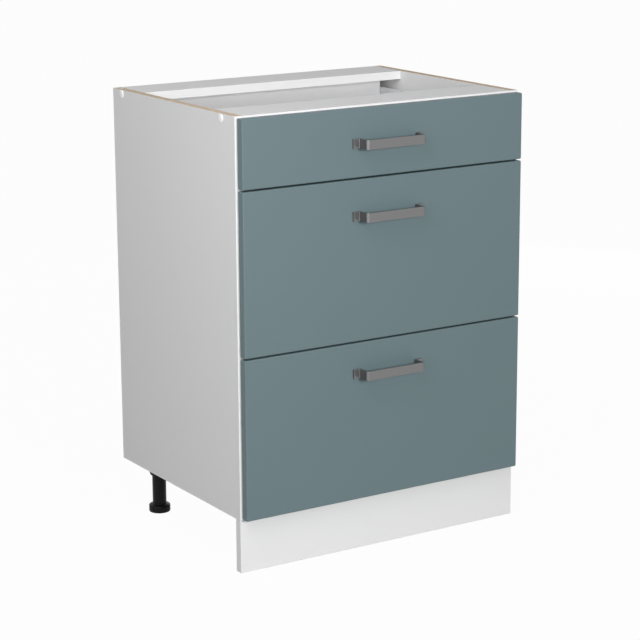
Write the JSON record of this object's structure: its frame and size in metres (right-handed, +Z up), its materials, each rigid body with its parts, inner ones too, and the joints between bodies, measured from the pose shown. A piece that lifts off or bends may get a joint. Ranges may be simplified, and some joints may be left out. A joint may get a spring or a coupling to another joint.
{
  "type": "base cabinet with drawers",
  "caption": "Kitchen base cabinet without a worktop: white carcass on adjustable feet, with soft-edged drawer fronts, bow handles and a pull-off plinth board.",
  "frame": {"origin": "middle of the unit's footprint, handles included, on the floor", "axes": "+X to the right seen from the front, +Y towards the wall, +Z up"},
  "size_m": [0.6054, 0.4982, 0.818],
  "materials": {
    "carcass_board": "white melamine-faced chipboard, fine satin grain, raw chipboard on the side panels' top edges",
    "back_board": "thin fibreboard, lacquered white",
    "plinth_board": "white melamine-faced chipboard, satin",
    "drawer_board": "white melamine-faced chipboard, satin",
    "front_foil": "fibreboard wrapped in matt petrol-blue foil",
    "handle_metal": "brushed, satin nickel tone",
    "drawer_steel": "powder-coated pale grey, satin",
    "runner_steel": "powder-coated white, satin",
    "roller_plastic": "natural white nylon",
    "cap_plastic": "white, slightly glossy",
    "foot_plastic": "black, satin",
    "clip_plastic": "black, satin"
  },
  "bodies": {
    "cabinet": {"side_panel_left": "carcass_board", "side_panel_right": "carcass_board", "bottom_panel": "carcass_board", "top_rail_front": "carcass_board", "top_rail_rear": "carcass_board", "back_panel": "back_board", "cover_cap_left_front": "cap_plastic", "cover_cap_left_rear": "cap_plastic", "cover_cap_right_front": "cap_plastic", "cover_cap_right_rear": "cap_plastic", "foot_socket_front_left": "foot_plastic", "foot_socket_front_right": "foot_plastic", "foot_socket_rear_left": "foot_plastic", "foot_socket_rear_right": "foot_plastic", "cabinet_runner_1_left": "runner_steel", "cabinet_runner_1_right": "runner_steel", "cabinet_runner_2_left": "runner_steel", "cabinet_runner_2_right": "runner_steel", "cabinet_runner_3_left": "runner_steel", "cabinet_runner_3_right": "runner_steel"},
    "drawer_1": {"drawer_front_1": "front_foil", "handle_1": "handle_metal", "drawer_bottom_1": "drawer_board", "drawer_back_1": "drawer_board", "drawer_side_1_left": "drawer_steel", "drawer_side_1_right": "drawer_steel"},
    "drawer_2": {"drawer_front_2": "front_foil", "handle_2": "handle_metal", "drawer_bottom_2": "drawer_board", "drawer_back_2": "drawer_board", "drawer_side_2_left": "drawer_steel", "drawer_side_2_right": "drawer_steel"},
    "drawer_3": {"drawer_front_3": "front_foil", "handle_3": "handle_metal", "drawer_bottom_3": "drawer_board", "drawer_back_3": "drawer_board", "drawer_side_3_left": "drawer_steel", "drawer_side_3_right": "drawer_steel"},
    "front_roller_1_left_body": {"front_roller_1_left": "roller_plastic"},
    "rear_roller_1_left_body": {"rear_roller_1_left": "roller_plastic"},
    "front_roller_1_right_body": {"front_roller_1_right": "roller_plastic"},
    "rear_roller_1_right_body": {"rear_roller_1_right": "roller_plastic"},
    "front_roller_2_left_body": {"front_roller_2_left": "roller_plastic"},
    "rear_roller_2_left_body": {"rear_roller_2_left": "roller_plastic"},
    "front_roller_2_right_body": {"front_roller_2_right": "roller_plastic"},
    "rear_roller_2_right_body": {"rear_roller_2_right": "roller_plastic"},
    "front_roller_3_left_body": {"front_roller_3_left": "roller_plastic"},
    "rear_roller_3_left_body": {"rear_roller_3_left": "roller_plastic"},
    "front_roller_3_right_body": {"front_roller_3_right": "roller_plastic"},
    "rear_roller_3_right_body": {"rear_roller_3_right": "roller_plastic"},
    "foot_front_left": {"foot_leg_front_left": "foot_plastic"},
    "foot_front_right": {"foot_leg_front_right": "foot_plastic"},
    "foot_rear_left": {"foot_leg_rear_left": "foot_plastic"},
    "foot_rear_right": {"foot_leg_rear_right": "foot_plastic"},
    "plinth": {"plinth_board": "plinth_board", "plinth_clip_left": "clip_plastic", "plinth_clip_right": "clip_plastic"}
  },
  "joints": [
    {"name": "drawer_1_slide", "type": "slide", "parent": "cabinet", "child": "drawer_1", "axis": [0, -1, 0], "range_m": [0, 0.35]},
    {"name": "drawer_2_slide", "type": "slide", "parent": "cabinet", "child": "drawer_2", "axis": [0, -1, 0], "range_m": [0, 0.35]},
    {"name": "drawer_3_slide", "type": "slide", "parent": "cabinet", "child": "drawer_3", "axis": [0, -1, 0], "range_m": [0, 0.35]},
    {"name": "front_roller_1_left_spin", "type": "hinge", "parent": "cabinet", "child": "front_roller_1_left_body", "pos_m": [-0.2776, -0.17885, 0.7317], "axis": [1, 0, 0], "continuous": true},
    {"name": "rear_roller_1_left_spin", "type": "hinge", "parent": "drawer_1", "child": "rear_roller_1_left_body", "pos_m": [-0.2776, 0.20815, 0.7288], "axis": [1, 0, 0], "continuous": true},
    {"name": "front_roller_1_right_spin", "type": "hinge", "parent": "cabinet", "child": "front_roller_1_right_body", "pos_m": [0.2776, -0.17885, 0.7317], "axis": [1, 0, 0], "continuous": true},
    {"name": "rear_roller_1_right_spin", "type": "hinge", "parent": "drawer_1", "child": "rear_roller_1_right_body", "pos_m": [0.2776, 0.20815, 0.7288], "axis": [1, 0, 0], "continuous": true},
    {"name": "front_roller_2_left_spin", "type": "hinge", "parent": "cabinet", "child": "front_roller_2_left_body", "pos_m": [-0.2776, -0.17885, 0.4492], "axis": [1, 0, 0], "continuous": true},
    {"name": "rear_roller_2_left_spin", "type": "hinge", "parent": "drawer_2", "child": "rear_roller_2_left_body", "pos_m": [-0.2776, 0.20815, 0.4463], "axis": [1, 0, 0], "continuous": true},
    {"name": "front_roller_2_right_spin", "type": "hinge", "parent": "cabinet", "child": "front_roller_2_right_body", "pos_m": [0.2776, -0.17885, 0.4492], "axis": [1, 0, 0], "continuous": true},
    {"name": "rear_roller_2_right_spin", "type": "hinge", "parent": "drawer_2", "child": "rear_roller_2_right_body", "pos_m": [0.2776, 0.20815, 0.4463], "axis": [1, 0, 0], "continuous": true},
    {"name": "front_roller_3_left_spin", "type": "hinge", "parent": "cabinet", "child": "front_roller_3_left_body", "pos_m": [-0.2776, -0.17885, 0.1532], "axis": [1, 0, 0], "continuous": true},
    {"name": "rear_roller_3_left_spin", "type": "hinge", "parent": "drawer_3", "child": "rear_roller_3_left_body", "pos_m": [-0.2776, 0.20815, 0.1503], "axis": [1, 0, 0], "continuous": true},
    {"name": "front_roller_3_right_spin", "type": "hinge", "parent": "cabinet", "child": "front_roller_3_right_body", "pos_m": [0.2776, -0.17885, 0.1532], "axis": [1, 0, 0], "continuous": true},
    {"name": "rear_roller_3_right_spin", "type": "hinge", "parent": "drawer_3", "child": "rear_roller_3_right_body", "pos_m": [0.2776, 0.20815, 0.1503], "axis": [1, 0, 0], "continuous": true},
    {"name": "foot_front_left_height", "type": "slide", "parent": "cabinet", "child": "foot_front_left", "axis": [0, 0, -1], "range_m": [0, 0.014]},
    {"name": "foot_front_right_height", "type": "slide", "parent": "cabinet", "child": "foot_front_right", "axis": [0, 0, -1], "range_m": [0, 0.014]},
    {"name": "foot_rear_left_height", "type": "slide", "parent": "cabinet", "child": "foot_rear_left", "axis": [0, 0, -1], "range_m": [0, 0.014]},
    {"name": "foot_rear_right_height", "type": "slide", "parent": "cabinet", "child": "foot_rear_right", "axis": [0, 0, -1], "range_m": [0, 0.014]},
    {"name": "plinth_pull", "type": "slide", "parent": "cabinet", "child": "plinth", "axis": [0, -1, 0], "range_m": [0, 0.05]}
  ],
  "couplings": [
    {"joint": "front_roller_1_left_spin", "follows": "drawer_1_slide", "rad_per_m": 95.238},
    {"joint": "rear_roller_1_left_spin", "follows": "drawer_1_slide", "rad_per_m": 95.238},
    {"joint": "front_roller_1_right_spin", "follows": "drawer_1_slide", "rad_per_m": 95.238},
    {"joint": "rear_roller_1_right_spin", "follows": "drawer_1_slide", "rad_per_m": 95.238},
    {"joint": "front_roller_2_left_spin", "follows": "drawer_2_slide", "rad_per_m": 95.238},
    {"joint": "rear_roller_2_left_spin", "follows": "drawer_2_slide", "rad_per_m": 95.238},
    {"joint": "front_roller_2_right_spin", "follows": "drawer_2_slide", "rad_per_m": 95.238},
    {"joint": "rear_roller_2_right_spin", "follows": "drawer_2_slide", "rad_per_m": 95.238},
    {"joint": "front_roller_3_left_spin", "follows": "drawer_3_slide", "rad_per_m": 95.238},
    {"joint": "rear_roller_3_left_spin", "follows": "drawer_3_slide", "rad_per_m": 95.238},
    {"joint": "front_roller_3_right_spin", "follows": "drawer_3_slide", "rad_per_m": 95.238},
    {"joint": "rear_roller_3_right_spin", "follows": "drawer_3_slide", "rad_per_m": 95.238}
  ]
}
